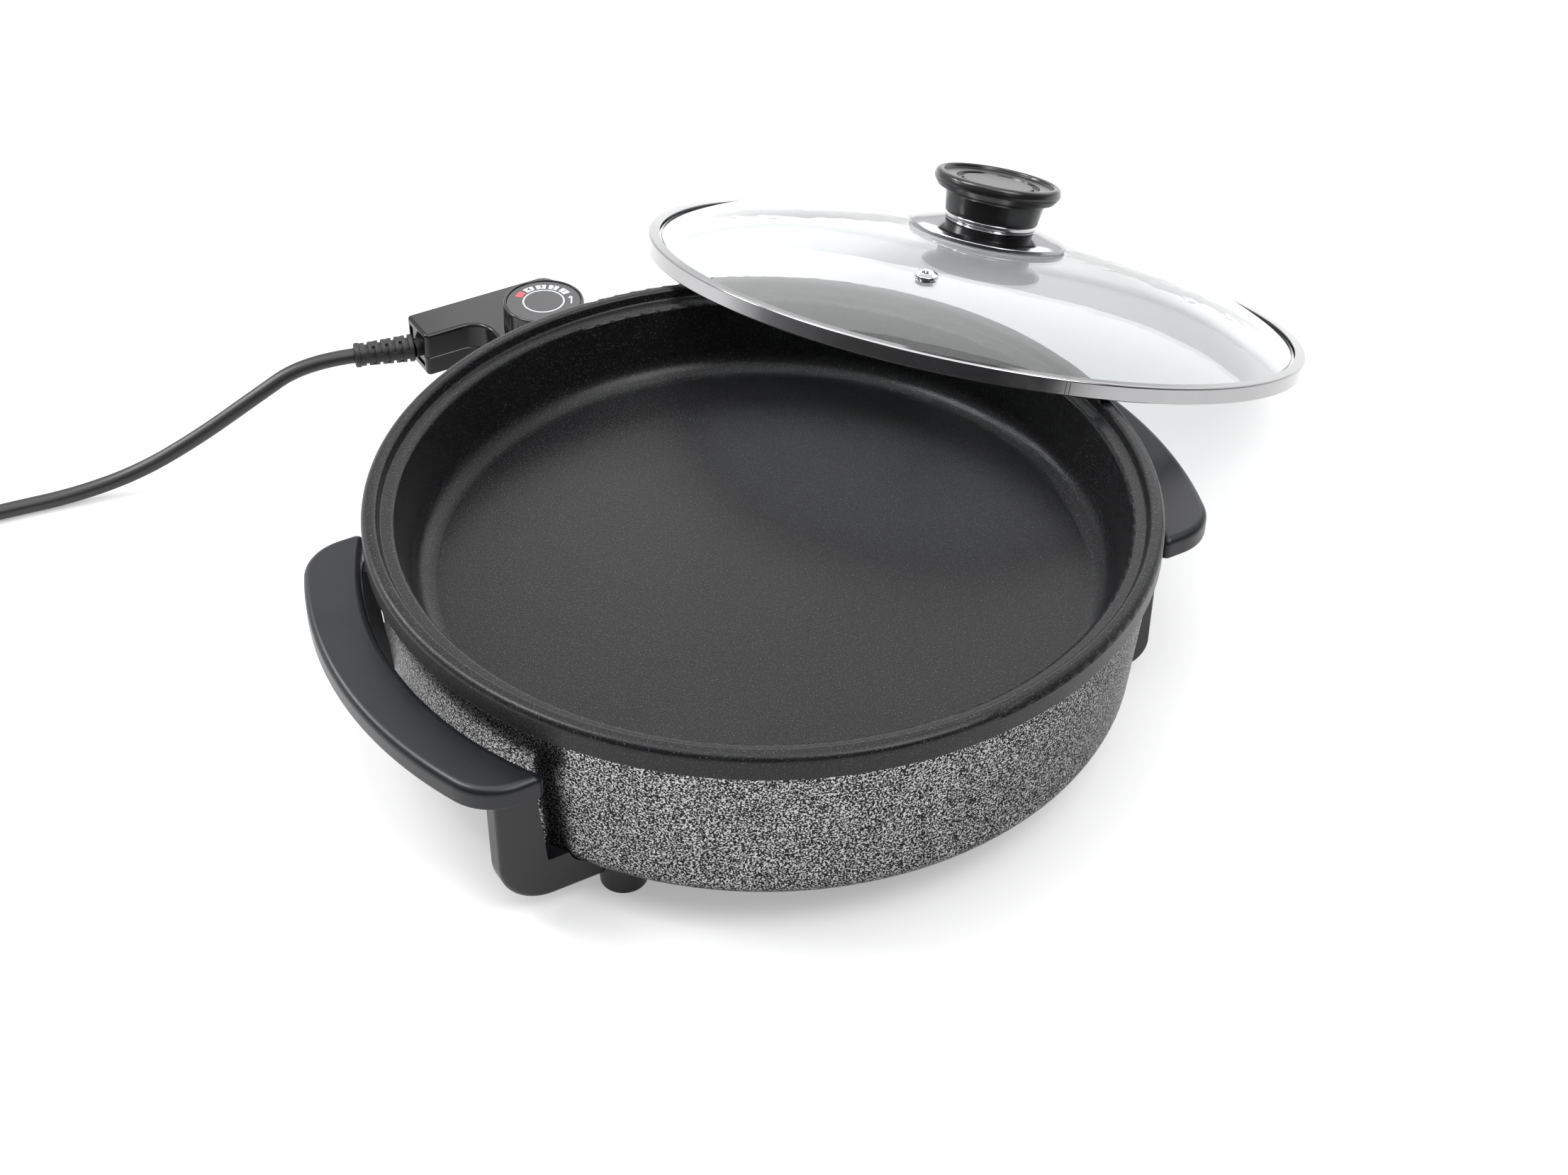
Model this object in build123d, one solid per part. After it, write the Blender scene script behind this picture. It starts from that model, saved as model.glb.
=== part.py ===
from build123d import *
import math
import os

os.makedirs("parts", exist_ok=True)

# ---------------------------------------------------------------- driving dimensions (mm)
# Frame: +Z up, z = 0 is the table, the pan's axis is X = Y = 0, the grips are on -X and +X
# and the plug-in thermostat is on +Y.
R_RIM = 180.0          # outer radius of the pan's rim
H_RIM = 109.0          # rim top above the table
SKIRT_Z = 96.8         # lower edge of the black rim skirt
FLOOR_TOP = 68.2       # cooking surface
FLOOR_BOT = 64.2
SHELL_Z = 18.4         # underside of the base shell
SHELL_R_BOT = 170.8
SHELL_R_TOP = 177.2
SHELL_TOP = 105.2
SHELL_FIL = 13.0
SHEET = 1.2
ELEMENT_R = 105.0      # heating ring
TUBE_R = 3.5
PIN_X = 9.6
PIN_Z = 60.7
PROBE_Z = 60.3
GRIP_RO = 207.8        # grips, plan arcs about the pan's axis
GRIP_RI = 182.2
GRIP_HALF = 95.0
GRIP_TOP = 81.3
GRIP_BOT = 70.8
LEG_Y0 = -90.0         # legs: flat L plates parallel to XZ
LEG_Y1 = -78.6
FOOT_X, FOOT_Y, FOOT_R = -120.6, -88.4, 10.5
LID_R = 176.5          # steel band of the lid
LID_TILT = 21.20       # leaning on the rim and the table
LID_DIR = 32.0         # way it tilts, seen from above
LID_AT = 34.0          # where its centre stands from the pan's axis
LID_DIST = 256.0
LID_GAP = 0.4
GLASS_TOP = 35.0
GLASS_EDGE = 7.2
GLASS_T = 4.0
BOX_TOP, BOX_SPLIT, BOX_BOT = 70.0, 56.2, 45.2
DIAL_Y = 226.3
DIAL_R = 21.2
DIAL_TOP = 84.0
WALL = 2.0
CORD_R = 4.0


# ---------------------------------------------------------------- helpers
def outline(points):
    """Closed flat face in XY from (x, y) or (x, y, corner radius) points."""
    n = len(points)
    ends = []
    for i in range(n):
        p0 = Vector(*points[i - 1][:2])
        p = Vector(*points[i][:2])
        p1 = Vector(*points[(i + 1) % n][:2])
        r = points[i][2] if len(points[i]) > 2 else 0.0
        if r <= 0:
            ends.append((p, None, p))
            continue
        a = (p0 - p).normalized()
        b = (p1 - p).normalized()
        ang = math.acos(max(-1.0, min(1.0, a.dot(b))))
        t = r / math.tan(ang / 2)
        bis = (a + b).normalized()
        c = p + bis * (r / math.sin(ang / 2))
        ends.append((p + a * t, c - bis * r, p + b * t))
    edges = []
    for i in range(n):
        s, m, e = ends[i]
        if m is not None:
            edges.append(ThreePointArc(s, m, e))
        nxt = ends[(i + 1) % n][0]
        if (nxt - e).length > 1e-5:
            edges.append(Line(e, nxt))
    return make_face(edges)


def turned(points):
    """Solid of revolution about Z from (r, z[, corner radius]) points."""
    return revolve(Plane.XZ * outline(points), Axis.Z)


def cyl(x, y, z0, z1, r):
    return Pos(x, y, z0) * Cylinder(r, z1 - z0, align=(Align.CENTER, Align.CENTER, Align.MIN))


def cyl_y(x, z, y0, y1, r):
    return Pos(x, y0, z) * Rot(-90, 0, 0) * Cylinder(r, y1 - y0, align=(Align.CENTER, Align.CENTER, Align.MIN))


def cyl_x(y, z, x0, x1, r):
    return Pos(x0, y, z) * Rot(0, 90, 0) * Cylinder(r, x1 - x0, align=(Align.CENTER, Align.CENTER, Align.MIN))


def block(x0, x1, y0, y1, z0, z1):
    return Pos((x0 + x1) / 2, (y0 + y1) / 2, (z0 + z1) / 2) * Box(x1 - x0, y1 - y0, z1 - z0)


def try_fillet(shape, edges, r):
    for k in (1.0, 0.7, 0.45):
        try:
            out = fillet(edges, r * k)
            if out.volume > 0:
                return out
        except Exception:
            continue
    print("corner left sharp", r)
    return shape


def save(name, shape):
    solids = shape if isinstance(shape, list) else [shape]
    flat = []
    for s in solids:
        flat += list(s.solids())
    out = flat[0] if len(flat) == 1 else Compound(children=flat)
    out.label = name
    export_step(out, f"parts/{name}.step")
    bb = out.bounding_box()
    print(f"{name:24s} solids {len(flat):2d} vol {sum(s.volume for s in flat):10.1f}  "
          f"x {bb.min.X:7.1f} {bb.max.X:7.1f}  y {bb.min.Y:7.1f} {bb.max.Y:7.1f}  z {bb.min.Z:6.1f} {bb.max.Z:6.1f}")
    return out


def four(shape):
    """The same piece at the four corners, mirrored across X and Y."""
    a = shape
    b = mirror(a, about=Plane.XZ)
    c = mirror(a, about=Plane.YZ)
    d = mirror(c, about=Plane.XZ)
    return [a, b, c, d]


# ---------------------------------------------------------------- cooking pan
pan = turned([
    (0, FLOOR_BOT), (161.5, FLOOR_BOT, 12), (167.6, 100.2, 1.5), (173.6, 100.2, 1.0), (174.4, SHELL_TOP, 0.5),
    (178.0, SHELL_TOP, 0.8), (178.0, SKIRT_Z, 0.4), (R_RIM, SKIRT_Z, 0.6), (R_RIM, H_RIM, 3.4),
    (173.3, H_RIM, 1.9), (171.9, 104.3, 1.2), (165.6, 103.8, 2.2),
    (158.6, FLOOR_TOP, 11), (0, FLOOR_TOP),
])
ribs = turned([(99.0, 58.5), (101.35, 58.5), (101.35, FLOOR_BOT + 0.5), (99.0, FLOOR_BOT + 0.5)])
ribs += turned([(108.65, 58.5), (111.0, 58.5), (111.0, FLOOR_BOT + 0.5), (108.65, FLOOR_BOT + 0.5)])
ribs -= block(-26, 26, 60, 130, 50, FLOOR_BOT)
pan = pan + ribs
save("pan", pan)

# ---------------------------------------------------------------- base shell (hammertone sheet)
s = SHEET
shell = turned([
    (0, SHELL_Z), (SHELL_R_BOT, SHELL_Z, SHELL_FIL), (SHELL_R_TOP, 97.0, 30), (SHELL_R_TOP, SHELL_TOP),
    (SHELL_R_TOP - s, SHELL_TOP), (SHELL_R_TOP - s, 97.0, 30), (SHELL_R_BOT - s * 1.05, SHELL_Z + s, SHELL_FIL - s),
    (0, SHELL_Z + s),
])
envelope = turned([(0, SHELL_Z), (SHELL_R_BOT, SHELL_Z, SHELL_FIL), (SHELL_R_TOP, 97.0, 30), (SHELL_R_TOP, 140), (0, 140)])
keep_out = turned([(0, SHELL_Z - 0.4), (SHELL_R_BOT + 0.4, SHELL_Z - 0.4, SHELL_FIL + 0.4),
                   (SHELL_R_TOP + 0.4, 97.0, 30), (SHELL_R_TOP + 0.4, 140), (0, 140)])
shell -= block(-16, 16, 150, 200, 51, 67)
PILLARS = [(52 * math.cos(math.radians(a)), 52 * math.sin(math.radians(a))) for a in (30, 150, 270)]
for px, py in PILLARS:
    shell -= cyl(px, py, 10, 30, 2.6)
for sx in (-1, 1):
    for sy in (-1, 1):
        shell -= cyl(sx * FOOT_X, sy * FOOT_Y, 10, 30, 1.95)
    shell -= cyl_y(sx * 25.6, 58.5, 150, 200, 1.5)
save("base_shell", shell)

# pillars and screws that tie the pan to the shell
pillars, pan_screws = [], []
for px, py in PILLARS:
    pillars.append(cyl(px, py, SHELL_Z + s, FLOOR_BOT, 5.5) - cyl(px, py, SHELL_Z, SHELL_Z + s + 16, 2.5))
    screw = cyl(px, py, SHELL_Z - 2.6, SHELL_Z, 4.4) + cyl(px, py, SHELL_Z - 0.1, SHELL_Z + s + 13, 2.45)
    screw -= Pos(px, py, SHELL_Z - 2.6) * Box(1.0, 6.4, 2.2)
    pan_screws.append(screw)
save("pan_pillars", pillars)
save("pan_screws", pan_screws)

# ---------------------------------------------------------------- heating element, terminals, inlet
rho = 12.0
cy_bend = math.sqrt((ELEMENT_R + rho) ** 2 - (PIN_X + rho) ** 2)
k = ELEMENT_R / (ELEMENT_R + rho)
tx, ty = (PIN_X + rho) * k, cy_bend * k
mid_a = math.radians(180 + 0.5 * math.degrees(math.acos((rho * rho * 2 - ((tx - PIN_X) ** 2 + (ty - cy_bend) ** 2)) / (2 * rho * rho))))
mx, my = PIN_X + rho + rho * math.cos(mid_a), cy_bend + rho * math.sin(mid_a)
EZ = FLOOR_BOT - TUBE_R
path = Wire([
    Line((PIN_X, 168, EZ), (PIN_X, cy_bend, EZ)).edge(),
    ThreePointArc((PIN_X, cy_bend, EZ), (mx, my, EZ), (tx, ty, EZ)).edge(),
    ThreePointArc((tx, ty, EZ), (0, -ELEMENT_R, EZ), (-tx, ty, EZ)).edge(),
    ThreePointArc((-tx, ty, EZ), (-mx, my, EZ), (-PIN_X, cy_bend, EZ)).edge(),
    Line((-PIN_X, cy_bend, EZ), (-PIN_X, 168, EZ)).edge(),
])
element = sweep(Plane(origin=(PIN_X, 168, EZ), z_dir=(0, -1, 0)) * Circle(TUBE_R), path=path)
save("heating_element", element)
save("terminal_pins", [cyl_y(sx * PIN_X, PIN_Z, 168, 186, 2.0) + Pos(sx * PIN_X, 186, PIN_Z) * Sphere(2.0) for sx in (-1, 1)])
save("probe_sleeve", cyl_y(0, PROBE_Z, 104, 172, 3.9) - cyl_y(0, PROBE_Z, 107, 175, 3.0))

shroud = block(-20.8, 20.8, 160, 189.5, 47, 69.5)
shroud = try_fillet(shroud, shroud.edges().filter_by(Axis.Y), 3.0)
shroud += block(-30.5, 30.5, 160, 176.2, 53.0, 64.0)
shroud -= envelope
cav = block(-18.3, 18.3, 177.2, 195, 49.4, 67.1)
shroud -= try_fillet(cav, cav.edges().filter_by(Axis.Y), 2.0)
for sx in (-1, 1):
    shroud -= cyl_y(sx * PIN_X, PIN_Z, 150, 200, 2.02)
    shroud -= cyl_y(sx * 25.6, 58.5, 150, 200, 1.7)
shroud -= cyl_y(0, PROBE_Z, 150, 200, 3.2)
save("inlet_shroud", shroud)
save("inlet_screws", [cyl_y(sx * 25.6, 58.5, 166.5, 176.2, 1.45) + cyl_y(sx * 25.6, 58.5, 176.2, 178.2, 2.8)
                      - Pos(sx * 25.6, 178.2, 58.5) * Box(4.6, 1.6, 0.9) for sx in (-1, 1)])

# ---------------------------------------------------------------- grips, legs and feet
grip_plan = (Circle(GRIP_RO) - Circle(GRIP_RI)) & (Pos(-GRIP_RO, 0) * Rectangle(150, 2 * GRIP_HALF))
grip = extrude(Pos(0, 0, GRIP_BOT) * grip_plan, GRIP_TOP - GRIP_BOT)
up = grip.edges().filter_by(Axis.Z)
grip = try_fillet(grip, up.filter_by(lambda e: math.hypot(e.center().X, e.center().Y) > 195), 25.0)
up = grip.edges().filter_by(Axis.Z)
grip = try_fillet(grip, up.filter_by(lambda e: math.hypot(e.center().X, e.center().Y) < 186), 3.0)
grip = try_fillet(grip, grip.faces().sort_by(Axis.Z)[-1].edges(), 3.6)
grip = try_fillet(grip, grip.faces().sort_by(Axis.Z)[0].edges(), 0.8)
under = (Circle(GRIP_RO - 3.4) - Circle(GRIP_RI + 3.4)) & (Pos(-GRIP_RO, 0) * Rectangle(150, 146))
grip -= extrude(Pos(0, 0, GRIP_BOT - 1) * under, GRIP_TOP - GRIP_BOT - 2.2)
GS_X, GS_Y = -169.3, (LEG_Y0 + LEG_Y1) / 2
for sy in (-1, 1):
    grip -= cyl(GS_X, sy * GS_Y, GRIP_BOT - 1, GRIP_BOT + 6.8, 1.55)
save("left_grip", grip)
save("right_grip", mirror(grip, about=Plane.YZ))

LUG_Z = 66.5
leg_plane = Plane(origin=(0, LEG_Y1, 0), x_dir=(1, 0, 0), z_dir=(0, -1, 0))


def finish_leg(leg):
    """Clears the shell, adds the foot boss and bores both screw holes."""
    leg -= keep_out
    leg += cyl(FOOT_X, FOOT_Y, 2.0, SHELL_Z, FOOT_R)
    leg -= cyl(FOOT_X, FOOT_Y, 1.0, 9.0, 4.2)
    leg -= cyl(FOOT_X, FOOT_Y, 1.0, 30.0, 1.95)
    leg -= cyl(GS_X, GS_Y, 0.0, LUG_Z, 3.4)
    leg -= cyl(GS_X, GS_Y, 0.0, 80.0, 1.75)
    return leg


# the left handle stands on two wide legs, the right one on two narrow legs that carry a lug under the grip
wide = extrude(leg_plane * outline([
    (-178.6, GRIP_BOT), (-160.0, GRIP_BOT), (-156.5, 28.8, 1.0), (FOOT_X, 28.8), (FOOT_X, 7.9), (-178.0, 7.9, 24.0),
]), LEG_Y1 - LEG_Y0)
rim_edges = wide.edges().filter_by(lambda e: e.center().X < -150 and (e.center().Z < 69.5)
                                   and (abs(e.center().Y - LEG_Y0) < 0.01 or abs(e.center().Y - LEG_Y1) < 0.01)
                                   and (e.center().X < -166 or e.center().Z < 10))
wide = finish_leg(try_fillet(wide, rim_edges, 2.4))
narrow = extrude(leg_plane * outline([
    (-178.0, GRIP_BOT), (-146.0, GRIP_BOT), (-146.0, 28.8), (FOOT_X, 28.8), (FOOT_X, 7.9), (-159.5, 7.9, 11.0),
    (-159.5, LUG_Z, 1.5), (-178.0, LUG_Z, 1.0),
]), LEG_Y1 - LEG_Y0)
rim_edges = narrow.edges().filter_by(lambda e: -161 < e.center().X < -150 and 9.0 < e.center().Z < 60
                                     and (abs(e.center().Y - LEG_Y0) < 0.01 or abs(e.center().Y - LEG_Y1) < 0.01))
narrow = finish_leg(try_fillet(narrow, rim_edges, 1.8))
narrow = mirror(narrow, about=Plane.YZ)
save("left_front_leg", wide)
save("left_rear_leg", mirror(wide, about=Plane.XZ))
save("right_front_leg", narrow)
save("right_rear_leg", mirror(narrow, about=Plane.XZ))
pad = cyl(FOOT_X, FOOT_Y, 0.0, 2.0, FOOT_R - 0.1)
pad = try_fillet(pad, pad.faces().sort_by(Axis.Z)[0].edges(), 0.5)
save("foot_pads", four(pad))
leg_screw = cyl(FOOT_X, FOOT_Y, 6.4, 9.0, 3.8) + cyl(FOOT_X, FOOT_Y, 8.9, 24.4, 1.8)
leg_screw -= Pos(FOOT_X, FOOT_Y, 6.4) * Box(0.9, 5.4, 2.0)
save("leg_screws", four(leg_screw))
nut = extrude(Pos(FOOT_X, FOOT_Y, SHELL_Z + s) * RegularPolygon(4.0, 6), 3.0) - cyl(FOOT_X, FOOT_Y, 15, 30, 1.85)
save("leg_nuts", four(nut))
grip_screw = cyl(GS_X, GS_Y, LUG_Z - 2.4, LUG_Z, 3.0) + cyl(GS_X, GS_Y, LUG_Z - 0.1, 77.0, 1.5)
grip_screw -= Pos(GS_X, GS_Y, LUG_Z - 2.4) * Box(0.9, 4.4, 2.0)
save("grip_screws", four(grip_screw))

# ---------------------------------------------------------------- lid, drawn upright and then leaned on the rim
tau, phi = math.radians(LID_TILT), math.radians(LID_DIR)
lid_n = (math.sin(tau) * math.cos(phi), math.sin(tau) * math.sin(phi), math.cos(tau))
LID_C = (LID_DIST * math.cos(math.radians(LID_AT)), LID_DIST * math.sin(math.radians(LID_AT)), LID_GAP + LID_R * math.sin(tau))
lean = Plane(origin=LID_C, x_dir=(-math.sin(phi), math.cos(phi), 0), z_dir=lid_n).location
print("lid centre", [round(v, 3) for v in LID_C], "normal", [round(v, 5) for v in lid_n])


def dome(r):
    """Height of the glass's outer face, flat in the middle and falling ever faster to its edge."""
    return GLASS_EDGE + (GLASS_TOP - GLASS_EDGE) * (1 - (r / 169.0) ** 3)


def dome_slope(r):
    return -3 * (GLASS_TOP - GLASS_EDGE) * r * r / 169.0 ** 3


def dome_face(r0, r1, r2):
    rs = [r0 + (r1 - r0) * i / 12 for i in range(13)]
    ends = [(1, dome_slope(r0)), (1, dome_slope(r1))]
    return make_face([
        Spline(*[(r, dome(r)) for r in rs], tangents=ends),
        Line((r1, dome(r1)), (r2, dome(r1) - 0.7)),
        Line((r2, dome(r1) - 0.7), (r2, dome(r1) - 0.7 - GLASS_T)),
        Line((r2, dome(r1) - 0.7 - GLASS_T), (r1, dome(r1) - GLASS_T)),
        Spline(*[(r, dome(r) - GLASS_T) for r in rs], tangents=ends),
        Line((r0, dome(r0) - GLASS_T), (r0, dome(r0))),
    ])


VENT_R, VENT_A = 104.4, math.radians(95.2)
vent_pos = (VENT_R * math.cos(VENT_A), VENT_R * math.sin(VENT_A), dome(VENT_R))
vent_n = (-dome_slope(VENT_R) * math.cos(VENT_A), -dome_slope(VENT_R) * math.sin(VENT_A), 1)
vent_loc = Plane(origin=vent_pos, z_dir=vent_n).location
glass = revolve(Plane.XZ * dome_face(4.0, 169.0, 175.6), Axis.Z)
glass -= vent_loc * Pos(0, 0, -8) * Cylinder(3.4, 16, align=(Align.CENTER, Align.CENTER, Align.MIN))
save("lid_glass", lean * glass)
band = turned([
    (171.0, 0.0, 0.3), (LID_R, 0.0, 0.6), (LID_R, 8.1, 1.1), (170.6, 8.4, 0.25), (170.6, 7.75, 0.2), (175.7, 7.3, 0.5),
    (175.7, 0.75, 0.3), (171.0, 0.75, 0.3),
])
save("lid_band", lean * band)
save("vent_eyelet", lean * vent_loc * turned([
    (1.7, -5.7), (5.4, -5.7, 0.4), (5.4, -4.2), (3.35, -4.2), (3.35, 0.08), (5.9, 0.08, 0.4), (5.9, 1.3, 0.5),
    (3.6, 2.3, 0.8), (2.4, 2.2, 0.4), (1.7, 1.0),
]))
COLLAR_Z = 35.4
save("lid_gasket", lean * turned([(37.4, dome(37.4) + 0.02), (41.3, dome(41.3) + 0.02), (41.3, COLLAR_Z), (37.4, COLLAR_Z)]))
collar = turned([
    (2.8, 41.2), (24.85, 41.2, 2.0), (37.5, 38.19, 8.0), (39.5, 37.27), (39.5, COLLAR_Z), (41.9, COLLAR_Z, 0.4),
    (41.9, 37.5, 0.6), (38.0, 39.3, 12.0), (25.0, 42.4, 3.0), (2.8, 42.4),
])
save("lid_collar", lean * collar)
save("knob_ring", lean * turned([(2.9, 42.4), (24.0, 42.4, 0.5), (24.2, 45.0, 0.7), (2.9, 45.0)]))
knob = turned([
    (2.5, 45.0), (24.6, 45.0, 0.6), (26.5, 56.4, 2.0), (31.0, 57.8, 1.5), (34.0, 61.8, 3.0), (32.8, 66.3, 2.4),
    (29.4, 66.3, 1.2), (28.8, 64.5, 0.5), (22.2, 64.0, 0.5), (21.6, 62.7, 0.5), (19.3, 62.7, 0.4), (18.8, 61.3),
    (5.0, 61.3), (5.0, 56.5), (2.5, 56.5),
])
save("lid_knob", lean * knob)
save("lid_knob_cap", lean * turned([(0, 61.3), (18.6, 61.3), (18.6, 63.7, 0.4), (0, 63.7)]))
UNDER = GLASS_TOP - GLASS_T
save("lid_inner_gasket", lean * turned([(4.1, UNDER - 1.6), (12.5, UNDER - 1.6, 0.3), (12.5, dome(12.5) - GLASS_T - 0.02),
                                        (4.1, dome(4.1) - GLASS_T - 0.02)]))
save("lid_washer", lean * turned([(2.7, UNDER - 2.8), (12.0, UNDER - 2.8, 0.3), (12.0, UNDER - 1.6), (2.7, UNDER - 1.6)]))
lid_screw = turned([(0, UNDER - 5.6), (5.2, UNDER - 5.6, 1.4), (5.2, UNDER - 2.8), (2.45, UNDER - 2.8), (2.45, 55.5, 0.5), (0, 55.5)])
lid_screw -= Pos(0, 0, UNDER - 5.6) * (Box(1.1, 6, 2.4) + Box(6, 1.1, 2.4))
save("lid_screw", lean * lid_screw)

# ---------------------------------------------------------------- plug-in thermostat
L_PLAN = [(-59.3, 268.7, 2.3), (-59.3, 245.1, 2.6), (-27.0, 245.1, 12.0), (-27.0, 191.0, 3.0), (23.6, 191.0, 3.0),
          (23.6, 268.7, 8.0)]
w = WALL
L_IN = [(-59.3 + w, 268.7 - w, 1.4), (-59.3 + w, 245.1 + w, 1.2), (-27.0 + w, 245.1 + w, 12.0 + w),
        (-27.0 + w, 191.0 + w, 1.2), (23.6 - w, 191.0 + w, 1.2), (23.6 - w, 268.7 - w, 6.0)]
upper = extrude(Pos(0, 0, BOX_SPLIT) * outline(L_PLAN), BOX_TOP - BOX_SPLIT)
upper = try_fillet(upper, upper.faces().sort_by(Axis.Z)[-1].edges(), 1.8)
upper = chamfer(upper.faces().sort_by(Axis.Z)[0].edges(), 0.35)
upper -= extrude(Pos(0, 0, BOX_SPLIT - 1) * outline(L_IN), BOX_TOP - BOX_SPLIT - w + 1)
lower = extrude(Pos(0, 0, BOX_BOT) * outline(L_PLAN), BOX_SPLIT - BOX_BOT)
lower = try_fillet(lower, lower.faces().sort_by(Axis.Z)[0].edges(), 1.8)
lower = chamfer(lower.faces().sort_by(Axis.Z)[-1].edges(), 0.35)
lower -= extrude(Pos(0, 0, BOX_BOT + w) * outline(L_IN), 30)
BOOT_Y, BOOT_Z = 256.9, 57.0
hole = cyl_x(BOOT_Y, BOOT_Z, -70, -50, 5.0)
panel = Pos(-59.3, BOOT_Y, 58.0) * Box(1.6, 17.0, 17.0)
nose_slot = block(-17.6, 17.6, 185, 195, 50.3, 66.1)
SCREWS = [(-45.0, 263.2), (16.5, 262.0), (-21.5, 201.5), (18.2, 201.5)]
for sx, sy in SCREWS:
    upper += cyl(sx, sy, BOX_SPLIT, BOX_TOP - w + 0.2, 3.2)
    upper -= cyl(sx, sy, BOX_SPLIT - 1, BOX_SPLIT + 8.0, 1.25)
    lower += cyl(sx, sy, BOX_BOT + w - 0.2, BOX_SPLIT, 3.2)
    lower -= cyl(sx, sy, BOX_BOT - 1, BOX_BOT + 3.0, 2.6)
    lower -= cyl(sx, sy, BOX_BOT - 1, 60, 1.45)
upper = upper - hole - panel - nose_slot - cyl(0, DIAL_Y, 60, 75, 4.06)
lower = lower - hole - panel - nose_slot
save("controller_upper_shell", upper)
save("controller_lower_shell", lower)
save("controller_screws", [cyl(sx, sy, BOX_BOT + 1.0, BOX_BOT + 3.0, 2.4) + cyl(sx, sy, BOX_BOT + 2.9, BOX_SPLIT + 7.0, 1.2)
                           - Pos(sx, sy, BOX_BOT + 1.0) * Box(0.7, 3.6, 1.4) for sx, sy in SCREWS])
nose = block(-17.6, 17.6, 178.0, 197.0, 50.3, 66.1)
nose = try_fillet(nose, nose.edges().filter_by(Axis.Y), 1.6)
for sx in (-1, 1):
    nose -= cyl_y(sx * PIN_X, PIN_Z, 170, 200, 3.2)
nose -= cyl_y(0, PROBE_Z, 170, 200, 2.6)
nose = nose - block(-30, 30, 193.0 - 0.001, 198, 40, BOX_BOT + w) - block(-30, -17.55, 190, 198, 40, 70)
save("plug_nose", nose)
save("contact_sleeves", [cyl_y(sx * PIN_X, PIN_Z, 178.6, 205.0, 3.2) - cyl_y(sx * PIN_X, PIN_Z, 170, 202.0, 2.35) for sx in (-1, 1)])
probe = cyl_y(0, PROBE_Z, 121.0, 205.0, 2.6) + Pos(0, 121.0, PROBE_Z) * Sphere(2.6)
save("probe_rod", probe)
switch = block(-14.5, 14.5, 205.0, 240.0, BOX_BOT + w, 59.2) + block(-13.5, 13.5, 205.0, 214.5, 59.0, 65.0)
save("thermostat_switch", switch)

# the cord's strain relief: a plain neck in the wall and a ribbed boot outside
boot_root = Vector(-61.3, 257.6, BOOT_Z)
boot_end = Vector(-91.0, 265.6, BOOT_Z)
boot_d = (boot_end - boot_root).normalized()
boot_l = (boot_end - boot_root).length
boot_loc = Plane(origin=boot_root, x_dir=(0, 0, 1), z_dir=boot_d).location
boot = turned([(0, 0), (7.3, 0, 0.8), (6.0, boot_l - 2.8), (6.6, boot_l - 2.8, 0.5), (6.3, boot_l, 0.8), (0, boot_l)])
for i in range(7):
    z = 3.4 + i * 3.5
    r_here = 7.3 - 1.3 * z / (boot_l - 2.8)
    ring = Cylinder(9, 1.7) - Cylinder(r_here - 1.5, 1.7)
    bridge = Box(20, 4.6, 4) if i % 2 else Box(4.6, 20, 4)
    boot -= Pos(0, 0, z) * (ring - bridge)
boot = boot_loc * boot
boot += cyl_x(BOOT_Y, BOOT_Z, -61.5, -54.5, 4.9) + cyl_x(BOOT_Y, BOOT_Z, -56.4, -52.5, 6.6)
save("strain_relief", boot)

# ---------------------------------------------------------------- dial
dial = turned([(0, BOX_TOP + 0.5), (DIAL_R, BOX_TOP + 0.5, 0.8), (DIAL_R - 0.5, DIAL_TOP, 1.0), (DIAL_R - 1.9, DIAL_TOP, 0.4),
               (DIAL_R - 2.1, DIAL_TOP - 1.5), (0, DIAL_TOP - 1.5)])
flute = Pos(DIAL_R + 0.35, 0, BOX_TOP) * Cylinder(0.85, DIAL_TOP - BOX_TOP - 2.6, align=(Align.CENTER, Align.CENTER, Align.MIN))
for i in range(44):
    dial -= Rot(0, 0, 360 / 44 * i) * flute
dial -= cyl(0, 0, BOX_TOP, 79.0, 4.0)
save("dial_knob", Pos(0, DIAL_Y, 0) * dial)
save("dial_plate", cyl(0, DIAL_Y, DIAL_TOP - 1.5, DIAL_TOP - 0.6, DIAL_R - 2.3))
spindle = cyl(0, DIAL_Y, 59.6, 79.0, 4.0) + cyl(0, DIAL_Y, 62.8, 65.8, 6.2)
save("dial_spindle", spindle)

# ---------------------------------------------------------------- cord, coil and plug
leave = boot_end + boot_d * 26.0
CORD = [(boot_end.X, boot_end.Y, boot_end.Z), (leave.X, leave.Y, leave.Z), (-145.0, 274.5, 43.0), (-174.0, 280.0, 26.0),
        (-206.0, 287.0, 10.5), (-240.0, 292.5, 4.3), (-273.0, 297.0, 4.3), (-306.0, 300.0, 5.6), (-338.0, 300.6, 8.2),
        (-366.0, 300.0, 9.7)]
COIL_C = (-372.0, 352.0, 9.7)
radii = []
for i in range(1, len(CORD) - 1):
    a, b, c = Vector(*CORD[i - 1]), Vector(*CORD[i]), Vector(*CORD[i + 1])
    turn = math.radians((b - a).get_angle(c - b))
    radii.append(0.45 * min((b - a).length, (c - b).length) / math.tan(turn / 2))
print("cord radii", [round(r, 1) for r in radii])
cord_path = FilletPolyline(*CORD, radius=radii)
first = (Vector(*CORD[1]) - Vector(*CORD[0])).normalized()
cord = sweep(Plane(origin=CORD[0], z_dir=first) * Circle(CORD_R), path=cord_path)
save("cord_tube", cord)
print("cord length", round(cord_path.length, 1), "volume ratio", round(cord.volume / (math.pi * CORD_R ** 2 * cord_path.length), 4))
coil = Pos(*COIL_C) * Torus(48.0, 8.2)
save("cord_coil", coil)
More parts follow.
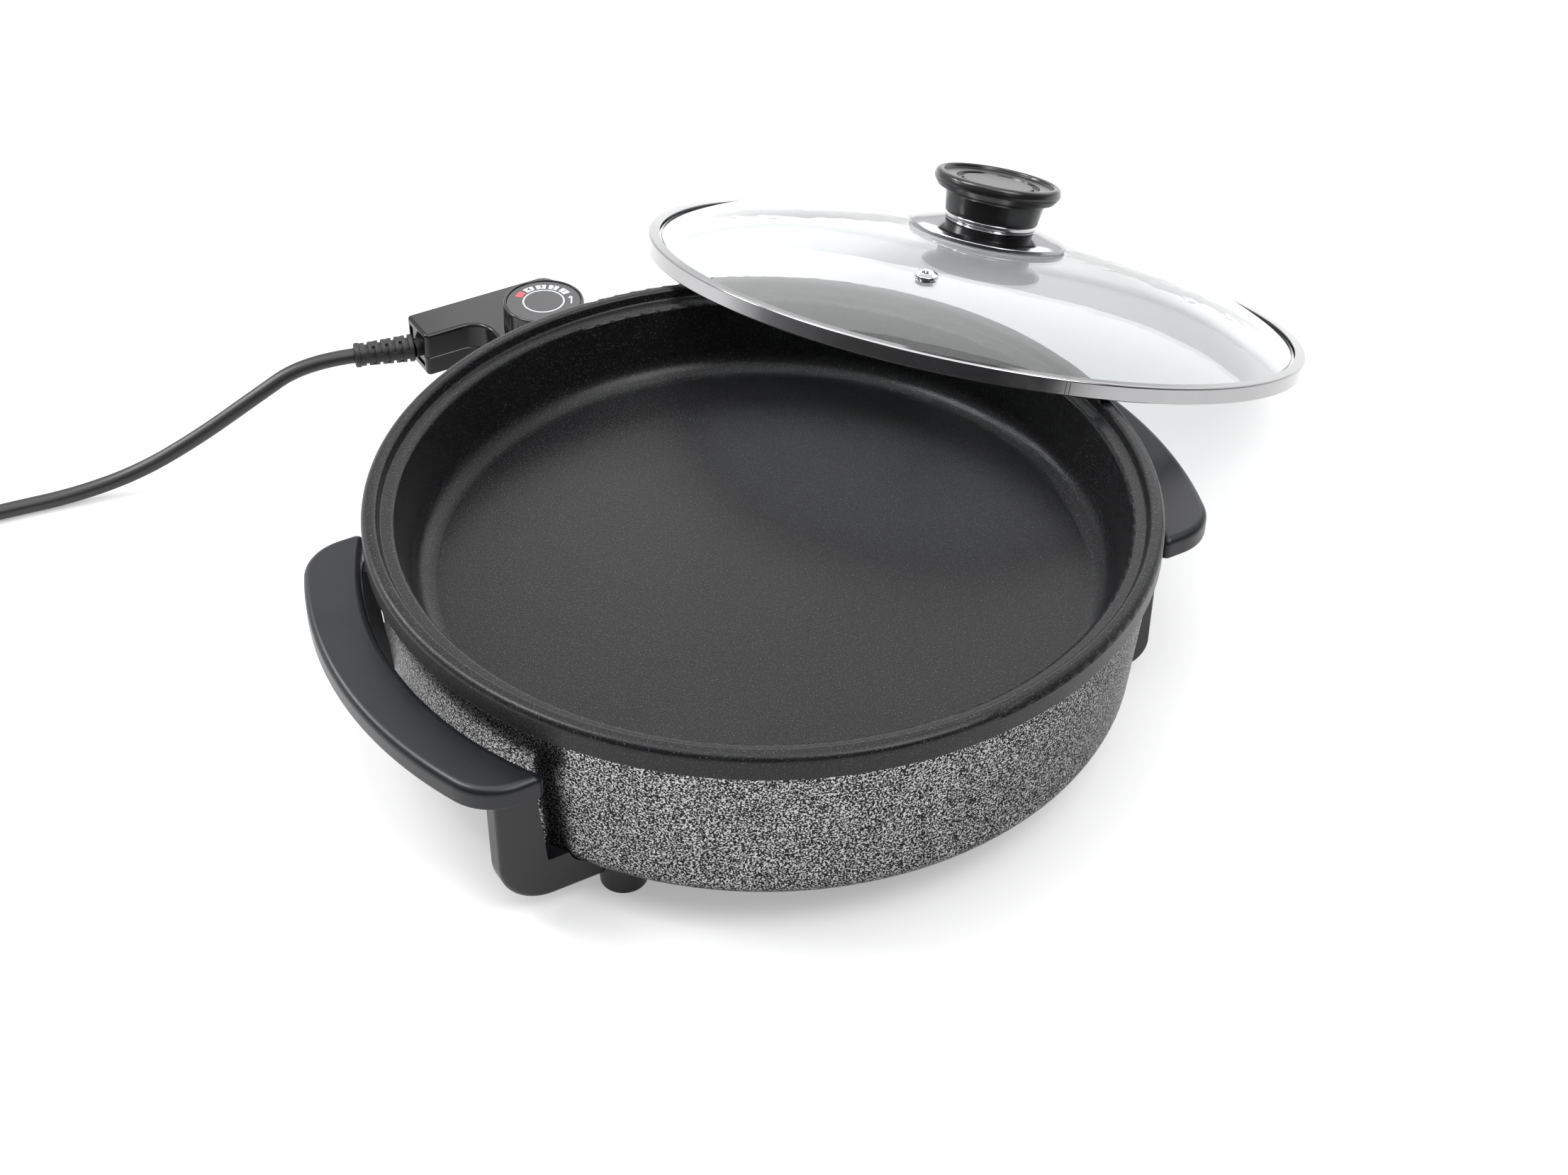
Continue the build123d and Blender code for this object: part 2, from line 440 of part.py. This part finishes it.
tie = Pos(COIL_C[0] - 48.0, COIL_C[1], COIL_C[2]) * Rot(90, 0, 0) * (Cylinder(9.6, 7) - Cylinder(8.6, 7))
save("cord_tie", tie)
PLUG_Y, PLUG_Z = COIL_C[1] - 50.0, 18.2
plug_loc = Plane(origin=(COIL_C[0] - 12.0, PLUG_Y, PLUG_Z), x_dir=(0, 1, 0), z_dir=(-1, 0, 0)).location
plug = plug_loc * turned([(0, 0), (5.2, 0, 1.0), (6.2, 27.0, 3.0), (11.0, 37.0, 5.0), (18.0, 49.0, 2.5), (18.0, 65.0, 1.2), (0, 65.0)])
save("mains_plug", plug)
save("plug_pins", [plug_loc * Pos(dy, 0, 65.0) * (Cylinder(2.4, 17.2, align=(Align.CENTER, Align.CENTER, Align.MIN)) + Pos(0, 0, 17.2) * Sphere(2.4))
                   for dy in (-9.5, 9.5)])
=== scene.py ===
import math

import bmesh
import bpy
from mathutils import Matrix, Vector


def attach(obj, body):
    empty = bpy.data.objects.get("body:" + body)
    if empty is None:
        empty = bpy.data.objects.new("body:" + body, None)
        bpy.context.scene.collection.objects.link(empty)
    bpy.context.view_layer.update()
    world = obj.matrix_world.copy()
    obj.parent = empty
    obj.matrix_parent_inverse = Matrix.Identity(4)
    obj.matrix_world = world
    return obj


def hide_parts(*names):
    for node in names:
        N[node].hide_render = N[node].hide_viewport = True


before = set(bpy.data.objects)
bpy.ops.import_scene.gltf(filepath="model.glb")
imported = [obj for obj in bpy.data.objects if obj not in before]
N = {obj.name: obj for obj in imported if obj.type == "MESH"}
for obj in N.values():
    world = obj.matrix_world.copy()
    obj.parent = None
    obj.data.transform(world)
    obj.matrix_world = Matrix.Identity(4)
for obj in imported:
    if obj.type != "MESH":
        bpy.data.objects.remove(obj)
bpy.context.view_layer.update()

scene = bpy.context.scene

# ---------------------------------------------------------------- camera at the photograph's angle
az, el, dist = -0.5281, 0.6358, 1.14907
roll, yaw, pitch = -0.0062, 0.0082, 0.0390
back = Vector((math.sin(az) * math.cos(el), -math.cos(az) * math.cos(el), math.sin(el)))
right = Vector((math.cos(az), math.sin(az), 0.0))
up = back.cross(right)
axes = Matrix((right, up, back))
ry = Matrix(((math.cos(yaw), 0, math.sin(yaw)), (0, 1, 0), (-math.sin(yaw), 0, math.cos(yaw))))
rx = Matrix(((1, 0, 0), (0, math.cos(pitch), -math.sin(pitch)), (0, math.sin(pitch), math.cos(pitch))))
rz = Matrix(((math.cos(roll), -math.sin(roll), 0), (math.sin(roll), math.cos(roll), 0), (0, 0, 1)))
look = (rz @ rx @ ry @ axes).transposed()
cam_data = bpy.data.cameras.new("camera")
cam_data.sensor_fit = "HORIZONTAL"
cam_data.sensor_width = 36.0
cam_data.lens = 58.5895
cam_data.clip_start, cam_data.clip_end = 0.05, 60.0
cam = bpy.data.objects.new("camera", cam_data)
cam.matrix_world = Matrix.Translation(back * dist + Vector((0, 0, 0.109))) @ look.to_4x4()
scene.collection.objects.link(cam)
scene.camera = cam


# ---------------------------------------------------------------- material helpers
def material(name, color, rough, metal=0.0, **sockets):
    m = bpy.data.materials.new(name)
    m.use_nodes = True
    nt = m.node_tree
    b = nt.nodes["Principled BSDF"]
    b.inputs["Base Color"].default_value = (*color, 1.0)
    b.inputs["Roughness"].default_value = rough
    b.inputs["Metallic"].default_value = metal
    for k, v in sockets.items():
        b.inputs[k.replace("_", " ")].default_value = v
    return m, nt, b


def coords(nt, scale=(1, 1, 1)):
    tc = nt.nodes.new("ShaderNodeTexCoord")
    if scale == (1, 1, 1):
        return tc.outputs["Object"]
    mp = nt.nodes.new("ShaderNodeMapping")
    mp.inputs["Scale"].default_value = scale
    nt.links.new(tc.outputs["Object"], mp.inputs["Vector"])
    return mp.outputs["Vector"]


def noise(nt, vec, scale, detail=2.0, rough=0.5, distort=0.0):
    n = nt.nodes.new("ShaderNodeTexNoise")
    n.inputs["Scale"].default_value = scale
    n.inputs["Detail"].default_value = detail
    n.inputs["Roughness"].default_value = rough
    n.inputs["Distortion"].default_value = distort
    nt.links.new(vec, n.inputs["Vector"])
    return n.outputs["Fac"]


def ramp(nt, fac, stops, interpolation="LINEAR"):
    r = nt.nodes.new("ShaderNodeValToRGB")
    r.color_ramp.interpolation = interpolation
    while len(r.color_ramp.elements) < len(stops):
        r.color_ramp.elements.new(0.5)
    for e, (p, c) in zip(r.color_ramp.elements, stops):
        e.position = p
        e.color = (*c, 1.0) if len(c) == 3 else c
    nt.links.new(fac, r.inputs["Fac"])
    return r.outputs["Color"]


def span(nt, fac, a0, a1, b0, b1):
    m = nt.nodes.new("ShaderNodeMapRange")
    for k, v in (("From Min", a0), ("From Max", a1), ("To Min", b0), ("To Max", b1)):
        m.inputs[k].default_value = v
    nt.links.new(fac, m.inputs["Value"])
    return m.outputs["Result"]


def bump(nt, b, height, strength, distance):
    n = nt.nodes.new("ShaderNodeBump")
    n.inputs["Strength"].default_value = strength
    n.inputs["Distance"].default_value = distance
    nt.links.new(height, n.inputs["Height"])
    nt.links.new(n.outputs["Normal"], b.inputs["Normal"])


def mix(nt, fac, a, b_, mode="MIX"):
    m = nt.nodes.new("ShaderNodeMix")
    m.data_type = "RGBA"
    m.blend_type = mode
    if isinstance(fac, float):
        m.inputs[0].default_value = fac
    else:
        nt.links.new(fac, m.inputs[0])
    for sock, v in ((m.inputs[6], a), (m.inputs[7], b_)):
        if isinstance(v, tuple):
            sock.default_value = (*v, 1.0)
        else:
            nt.links.new(v, sock)
    return m.outputs[2]


# ---------------------------------------------------------------- materials
def make_nonstick():
    m, nt, b = material("nonstick", (0.008, 0.008, 0.009), 0.33, Specular_IOR_Level=0.26)
    v = coords(nt)
    speck = noise(nt, v, 1700.0, 1.0, 0.5)
    broad = noise(nt, v, 22.0, 3.0, 0.6)
    col = ramp(nt, speck, [(0.50, (0.0050, 0.0050, 0.0054)), (0.64, (0.014, 0.0145, 0.016)), (0.76, (0.085, 0.088, 0.094))])
    tint = ramp(nt, broad, [(0.35, (0.85, 0.84, 0.85)), (0.70, (1.0, 1.0, 1.0))])
    nt.links.new(mix(nt, 1.0, col, tint, "MULTIPLY"), b.inputs["Base Color"])
    nt.links.new(span(nt, broad, 0.3, 0.7, 0.29, 0.36), b.inputs["Roughness"])
    bump(nt, b, noise(nt, v, 1050.0, 2.0, 0.55), 0.42, 0.00018)
    return m


def make_hammertone():
    m, nt, b = material("hammertone", (0.3, 0.3, 0.3), 0.24, 0.95, Specular_Tint=(0.55, 0.55, 0.55, 1.0))
    v = coords(nt)
    worm = noise(nt, v, 1250.0, 0.8, 0.45, 0.25)
    broad = noise(nt, v, 60.0, 2.0, 0.5)
    col = ramp(nt, worm, [(0.38, (0.014, 0.014, 0.0147)), (0.485, (0.036, 0.036, 0.037)), (0.56, (0.31, 0.31, 0.309)), (0.68, (0.55, 0.55, 0.547))])
    tint = ramp(nt, broad, [(0.30, (0.90, 0.90, 0.90)), (0.70, (1.0, 1.0, 1.0))])
    nt.links.new(mix(nt, 1.0, col, tint, "MULTIPLY"), b.inputs["Base Color"])
    nt.links.new(span(nt, worm, 0.38, 0.62, 0.36, 0.22), b.inputs["Roughness"])
    bump(nt, b, worm, 0.15, 0.00022)
    return m


def make_plastic(name, color, rough, grain, depth, spread=0.04, fine=1800.0, **sockets):
    m, nt, b = material(name, color, rough, 0.0, **sockets)
    v = coords(nt)
    broad = noise(nt, v, 18.0, 4.0, 0.6)
    fleck = noise(nt, v, fine, 1.0, 0.5)
    lo = tuple(c * 0.86 for c in color)
    hi = tuple(c * 1.16 for c in color)
    nt.links.new(ramp(nt, broad, [(0.30, lo), (0.72, hi)]), b.inputs["Base Color"])
    nt.links.new(span(nt, broad, 0.3, 0.7, rough - spread, rough + spread), b.inputs["Roughness"])
    bump(nt, b, fleck, grain, depth)
    return m


def make_polished(name, color, rough, around=None):
    m, nt, b = material(name, color, rough, 1.0)
    v = coords(nt)
    smear = noise(nt, v, 40.0, 4.0, 0.65)
    fine = noise(nt, v, 2600.0, 2.0, 0.6)
    nt.links.new(span(nt, smear, 0.3, 0.7, rough * 0.7, rough * 1.5), b.inputs["Roughness"])
    nt.links.new(ramp(nt, smear, [(0.3, tuple(c * 0.93 for c in color)), (0.7, color)]), b.inputs["Base Color"])
    bump(nt, b, fine, 0.05, 0.00005)
    return m


def make_metal(name, color, rough, stretch=(1, 1, 1), amount=0.08):
    m, nt, b = material(name, color, rough, 1.0)
    v = coords(nt, stretch)
    line = noise(nt, v, 900.0, 3.0, 0.6)
    nt.links.new(ramp(nt, line, [(0.3, tuple(c * 0.80 for c in color)), (0.7, color)]), b.inputs["Base Color"])
    nt.links.new(span(nt, line, 0.3, 0.7, rough - amount, rough + amount), b.inputs["Roughness"])
    bump(nt, b, line, 0.12, 0.00008)
    return m


def make_glass():
    m, nt, b = material("clear_glass", (0.690, 0.706, 0.714), 0.0, 0.0)
    b.inputs["Transmission Weight"].default_value = 1.0
    b.inputs["IOR"].default_value = 1.5
    v = coords(nt)
    wave = noise(nt, v, 9.0, 2.0, 0.5)
    bump(nt, b, wave, 0.02, 0.002)
    nt.links.new(span(nt, noise(nt, v, 30.0, 4.0, 0.6), 0.45, 0.8, 0.0, 0.015), b.inputs["Roughness"])
    return m


def make_silicone():
    m, nt, b = material("silicone", (0.72, 0.73, 0.73), 0.45)
    b.inputs["Transmission Weight"].default_value = 0.35
    v = coords(nt)
    nt.links.new(ramp(nt, noise(nt, v, 60.0, 3.0), [(0.3, (0.66, 0.67, 0.67)), (0.7, (0.76, 0.77, 0.77))]), b.inputs["Base Color"])
    bump(nt, b, noise(nt, v, 900.0, 2.0), 0.08, 0.0001)
    return m


def make_print(name, color, rough=0.5):
    m, nt, b = material(name, color, rough)
    v = coords(nt)
    wear = noise(nt, v, 1500.0, 3.0, 0.6)
    nt.links.new(ramp(nt, wear, [(0.25, tuple(c * 0.82 for c in color)), (0.55, color)]), b.inputs["Base Color"])
    nt.links.new(span(nt, wear, 0.3, 0.7, rough - 0.06, rough + 0.06), b.inputs["Roughness"])
    return m


nonstick = make_nonstick()
hammertone = make_hammertone()
grip_black = make_plastic("grip_black", (0.0068, 0.0074, 0.0096), 0.35, 0.20, 0.00013, Specular_IOR_Level=0.36)
leg_black = make_plastic("leg_black", (0.0075, 0.0079, 0.0092), 0.40, 0.18, 0.00012, Specular_IOR_Level=0.40)
gloss_black = make_plastic("gloss_black", (0.0060, 0.0060, 0.0066), 0.21, 0.03, 0.00005, 0.03)
box_black = make_plastic("box_black", (0.0060, 0.0060, 0.0064), 0.17, 0.04, 0.00005, 0.03, Specular_IOR_Level=0.36)
knob_grey = make_plastic("knob_grey", (0.060, 0.060, 0.062), 0.36, 0.04, 0.00005, 0.03)
dial_grey = make_plastic("dial_grey", (0.046, 0.046, 0.048), 0.45, 0.08, 0.00005, 0.04)
inner_plastic = make_plastic("inner_plastic", (0.020, 0.018, 0.017), 0.50, 0.15, 0.0001)
black_rubber = make_plastic("black_rubber", (0.0085, 0.0085, 0.0090), 0.50, 0.18, 0.00012)
cord_black = make_plastic("cord_black", (0.0120, 0.0120, 0.0126), 0.40, 0.10, 0.00008)
polished_steel = make_polished("polished_steel", (0.62, 0.62, 0.625), 0.09)
dish_steel = make_polished("dish_steel", (0.40, 0.40, 0.41), 0.10)
band_steel = make_polished("band_steel", (0.36, 0.36, 0.365), 0.10)
zinc_steel = make_metal("zinc_steel", (0.60, 0.60, 0.585), 0.33)
element_steel = make_metal("element_steel", (0.27, 0.255, 0.24), 0.48)
contact_brass = make_metal("contact_brass", (0.72, 0.56, 0.27), 0.28)
clear_glass = make_glass()
silicone = make_silicone()
print_white = make_print("print_white", (0.50, 0.505, 0.515), 0.45)
print_dark = make_print("print_dark", (0.020, 0.020, 0.021), 0.45)
print_red = make_print("print_red", (0.42, 0.060, 0.075), 0.45)
seam_dark = make_metal("seam_dark", (0.16, 0.155, 0.15), 0.35)

LOOK = {
    "pan": nonstick, "base_shell": hammertone, "pan_pillars": zinc_steel, "pan_screws": zinc_steel,
    "heating_element": element_steel, "terminal_pins": zinc_steel, "probe_sleeve": zinc_steel,
    "inlet_shroud": inner_plastic, "inlet_screws": zinc_steel, "left_grip": grip_black, "right_grip": grip_black,
    "left_front_leg": leg_black, "left_rear_leg": leg_black, "right_front_leg": leg_black, "right_rear_leg": leg_black,
    "foot_pads": black_rubber, "leg_screws": zinc_steel, "leg_nuts": zinc_steel, "grip_screws": zinc_steel,
    "lid_glass": clear_glass, "lid_band": band_steel, "vent_eyelet": polished_steel, "lid_gasket": silicone,
    "lid_collar": dish_steel, "knob_ring": polished_steel, "lid_knob": gloss_black, "lid_knob_cap": knob_grey,
    "lid_inner_gasket": silicone, "lid_washer": zinc_steel, "lid_screw": zinc_steel,
    "controller_upper_shell": box_black, "controller_lower_shell": box_black, "controller_screws": zinc_steel,
    "plug_nose": inner_plastic, "contact_sleeves": contact_brass, "probe_rod": zinc_steel,
    "thermostat_switch": inner_plastic, "strain_relief": black_rubber, "cord_tube": cord_black,
    "cord_coil": cord_black, "cord_tie": black_rubber, "mains_plug": cord_black, "plug_pins": zinc_steel,
    "dial_knob": gloss_black, "dial_plate": dial_grey, "dial_spindle": contact_brass,
}
for name, m in LOOK.items():
    mats = N[name].data.materials
    if len(mats) == 0:
        mats.append(m)
    for i in range(len(mats)):
        mats[i] = m

# ---------------------------------------------------------------- cord: one smooth line, its turns put away outside the view
ROUTE = [
    (-0.09100, 0.26560, 0.05700), (-0.11611, 0.27233, 0.05700), (-0.14500, 0.27450, 0.04300), (-0.17400, 0.28000, 0.02600),
    (-0.20600, 0.28700, 0.01050), (-0.24000, 0.29250, 0.00430), (-0.27300, 0.29700, 0.00430), (-0.30600, 0.30000, 0.00430),
    (-0.33800, 0.30060, 0.00450),
]
CX, CY, CR = -0.372, 0.352, 0.0500
TURN = 16
STEP = 2 * math.pi / TURN
START = math.radians(-83.4)
turns = []
for i in range(2 * TURN + 1):
    a = START - STEP * i
    f = i / (2 * TURN)
    lift = 1.0 if f > 0.60 else (0.0 if f < 0.40 else (f - 0.40) / 0.20)
    lift = lift * lift * (3 - 2 * lift)
    r = (CR + 0.0018) - 0.0052 * lift
    turns.append((CX + r * math.cos(a) / math.cos(STEP / 2), CY + r * math.sin(a) / math.cos(STEP / 2), 0.0047 + 0.0086 * lift))
TAIL = [(-0.3810, 0.3022, 0.0150), (-0.3920, 0.3020, 0.0178)]
pts = ROUTE + turns + TAIL
cu = bpy.data.curves.new("cord", "CURVE")
cu.dimensions = "3D"
sp = cu.splines.new("NURBS")
sp.points.add(len(pts) - 1)
for p, q in zip(sp.points, pts):
    p.co = (*q, 1.0)
sp.order_u = 3
sp.use_endpoint_u = True
sp.resolution_u = 12
cu.bevel_depth = 0.0040
cu.bevel_resolution = 7
cu.use_fill_caps = True
cu.materials.append(cord_black)
cord = bpy.data.objects.new("cord", cu)
scene.collection.objects.link(cord)
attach(cord, "controller")
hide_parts("cord_tube", "cord_coil")


# ---------------------------------------------------------------- mesh helpers
def new_piece(name, bm, m, body, smooth=False):
    me = bpy.data.meshes.new(name)
    bm.normal_update()
    bm.to_mesh(me)
    bm.free()
    me.materials.append(m)
    for p in me.polygons:
        p.use_smooth = smooth
    o = bpy.data.objects.new(name, me)
    scene.collection.objects.link(o)
    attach(o, body)
    return o


def sector(bm, c, z0, z1, r0, r1, a0, a1, steps):
    """A flat curved bar between two radii and two plan angles."""
    rows = []
    for i in range(steps + 1):
        a = math.radians(a0 + (a1 - a0) * i / steps)
        ca, sa = math.cos(a), math.sin(a)
        rows.append([bm.verts.new((c[0] + r * ca, c[1] + r * sa, z)) for r, z in ((r0, z0), (r1, z0), (r1, z1), (r0, z1))])
    for p, q in zip(rows, rows[1:]):
        for j in range(4):
            bm.faces.new((p[j], p[(j + 1) % 4], q[(j + 1) % 4], q[j]))
    bm.faces.new(rows[0][::-1])
    bm.faces.new(rows[-1])


def full_ring(bm, c, z0, z1, r0, r1, steps):
    rows = []
    for i in range(steps):
        a = 2 * math.pi * i / steps
        ca, sa = math.cos(a), math.sin(a)
        rows.append([bm.verts.new((c[0] + r * ca, c[1] + r * sa, z)) for r, z in ((r0, z0), (r1, z0), (r1, z1), (r0, z1))])
    for i in range(steps):
        p, q = rows[i], rows[(i + 1) % steps]
        for j in range(4):
            bm.faces.new((p[j], p[(j + 1) % 4], q[(j + 1) % 4], q[j]))


# ---------------------------------------------------------------- dial print: ring, scale fields, pointer, numbers
DC = (0.0, 0.2263)
DZ = 0.0834
bm = bmesh.new()
full_ring(bm, DC, DZ - 0.0001, DZ + 0.00009, 0.01005, 0.01085, 96)
new_piece("dial_print_ring", bm, print_white, "dial")
FIELDS = [(14.0, "1"), (42.0, "2"), (69.5, "3"), (97.0, "4")]
bm = bmesh.new()
for a, _ in FIELDS:
    sector(bm, DC, DZ - 0.0001, DZ + 0.00009, 0.01195, 0.01570, a - 10.5, a + 10.5, 8)
new_piece("dial_print_fields", bm, print_white, "dial")
bm = bmesh.new()
sector(bm, DC, DZ - 0.0001, DZ + 0.00009, 0.01195, 0.01570, 113.5, 134.5, 8)
new_piece("dial_print_red", bm, print_red, "dial")
bm = bmesh.new()
sector(bm, DC, DZ - 0.0001, DZ + 0.00009, 0.01400, 0.01480, -38.0, -15.0, 8)
a0, a1 = math.radians(-16.0), math.radians(-8.5)
tri = [(0.0156, a0), (0.0144, a1), (0.0126, a0)]
top = [bm.verts.new((DC[0] + r * math.cos(a), DC[1] + r * math.sin(a), DZ + 0.00009)) for r, a in tri]
bot = [bm.verts.new((DC[0] + r * math.cos(a), DC[1] + r * math.sin(a), DZ - 0.0001)) for r, a in tri]
bm.faces.new(top)
bm.faces.new(bot[::-1])
for i in range(3):
    bm.faces.new((bot[i], bot[(i + 1) % 3], top[(i + 1) % 3], top[i]))
bmesh.ops.recalc_face_normals(bm, faces=bm.faces)
new_piece("dial_print_arrow", bm, print_white, "dial")
for a, digit in FIELDS:
    tx = bpy.data.curves.new("dial_number_" + digit, "FONT")
    tx.body = digit
    tx.size = 0.0040
    tx.align_x, tx.align_y = "CENTER", "CENTER"
    tx.extrude = 0.00002
    tx.offset = 0.00005
    tx.materials.append(print_dark)
    o = bpy.data.objects.new("dial_number_" + digit, tx)
    t = math.radians(a)
    o.location = (DC[0] + 0.01382 * math.cos(t), DC[1] + 0.01382 * math.sin(t), DZ + 0.00012)
    o.rotation_euler = (0, 0, t - math.pi / 2)
    scene.collection.objects.link(o)
    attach(o, "dial")

# ---------------------------------------------------------------- seam where the lid's band closes on itself
LC = Vector((0.212234, 0.143153, 0.064227))
LN = Vector((0.30668, 0.19163, 0.93232)).normalized()
LU = Vector((-math.sin(math.radians(32.0)), math.cos(math.radians(32.0)), 0.0))
LV = LN.cross(LU)


def on_lid(r, a, h):
    return LC + LU * (r * math.cos(a)) + LV * (r * math.sin(a)) + LN * h


PROFILE = [(0.17650, 0.0007), (0.17650, 0.0070), (0.17618, 0.00778), (0.17540, 0.00815), (0.17110, 0.00840)]
bm = bmesh.new()
for mid in (125.80, 126.42):
    a0, a1 = math.radians(mid - 0.055), math.radians(mid + 0.055)
    rows = []
    for i, (r, h) in enumerate(PROFILE):
        p, q = PROFILE[max(i - 1, 0)], PROFILE[min(i + 1, len(PROFILE) - 1)]
        t = Vector((q[0] - p[0], q[1] - p[1])).normalized()
        out = Vector((t.y, -t.x)) * 0.00005
        rows.append([bm.verts.new(on_lid(r + k * out.x, a, h + k * out.y)) for k, a in ((-1, a0), (1, a0), (1, a1), (-1, a1))])
    for p, q in zip(rows, rows[1:]):
        for j in range(4):
            bm.faces.new((p[j], p[(j + 1) % 4], q[(j + 1) % 4], q[j]))
    bm.faces.new(rows[0][::-1])
    bm.faces.new(rows[-1])
bmesh.ops.recalc_face_normals(bm, faces=bm.faces)
new_piece("band_seam", bm, seam_dark, "lid")

# ---------------------------------------------------------------- floor, light and air
floor_m, nt, b = material("floor", (0.56, 0.56, 0.56), 0.9)
nt.links.new(ramp(nt, noise(nt, coords(nt), 3.0, 2.0), [(0.3, (0.555, 0.555, 0.555)), (0.7, (0.565, 0.565, 0.565))]), b.inputs["Base Color"])
b.inputs["Specular IOR Level"].default_value = 0.1
b.inputs["Emission Color"].default_value = (1.0, 1.0, 1.0, 1.0)
b.inputs["Emission Strength"].default_value = 0.36
bm = bmesh.new()
bmesh.ops.create_grid(bm, x_segments=8, y_segments=8, size=9.0)
me = bpy.data.meshes.new("floor")
bm.to_mesh(me)
bm.free()
me.materials.append(floor_m)
floor = bpy.data.objects.new("floor", me)
floor.location = (0, 0, -0.0002)
scene.collection.objects.link(floor)


def area(name, loc, target, size, energy, color=(1, 1, 1)):
    d = bpy.data.lights.new(name, "AREA")
    d.shape = "RECTANGLE"
    d.size, d.size_y = size
    d.energy = energy
    d.color = color
    o = bpy.data.objects.new(name, d)
    o.location = loc
    o.rotation_mode = "QUATERNION"
    o.rotation_quaternion = (Vector(target) - Vector(loc)).to_track_quat("-Z", "Y")
    scene.collection.objects.link(o)
    return o


area("top_soft", (-0.10, 0.0, 2.3), (0, 0.05, 0.0), (2.6, 2.4), 38.0)
area("left_soft", (-1.05, 0.75, 1.9), (-0.05, 0.05, 0.05), (0.7, 0.7), 24.0)
area("front_soft", (0.45, -1.45, 2.1), (0.0, -0.20, 0.0), (1.3, 1.1), 30.0)
area("rim_soft", (-0.86, 1.10, 0.96), (-0.17, 0.0, 0.11), (0.50, 0.26), 9.0)
area("back_soft", (1.16, 1.14, 0.85), (0.20, 0.10, 0.10), (1.7, 1.0), 7.5)
world = bpy.data.worlds.new("world")
scene.world = world
world.use_nodes = True
wn = world.node_tree
bg = wn.nodes["Background"]
way = wn.nodes.new("ShaderNodeTexCoord")
side = wn.nodes.new("ShaderNodeVectorMath")
side.operation = "DOT_PRODUCT"
side.inputs[1].default_value = (0.30, 0.78, 0.55)
wn.links.new(way.outputs["Generated"], side.inputs[0])
tent = ramp(wn, span(wn, side.outputs["Value"], -1.0, 1.0, 0.0, 1.0),
            [(0.0, (0.04, 0.04, 0.042)), (0.30, (0.09, 0.09, 0.093)), (0.54, (0.32, 0.323, 0.33)), (0.76, (0.94, 0.945, 0.955)), (1.0, (1.0, 1.0, 1.0))])
wn.links.new(tent, bg.inputs["Color"])
bg.inputs["Strength"].default_value = 1.10
scene.view_settings.view_transform = "Standard"
scene.view_settings.look = "None"

bpy.context.view_layer.update()
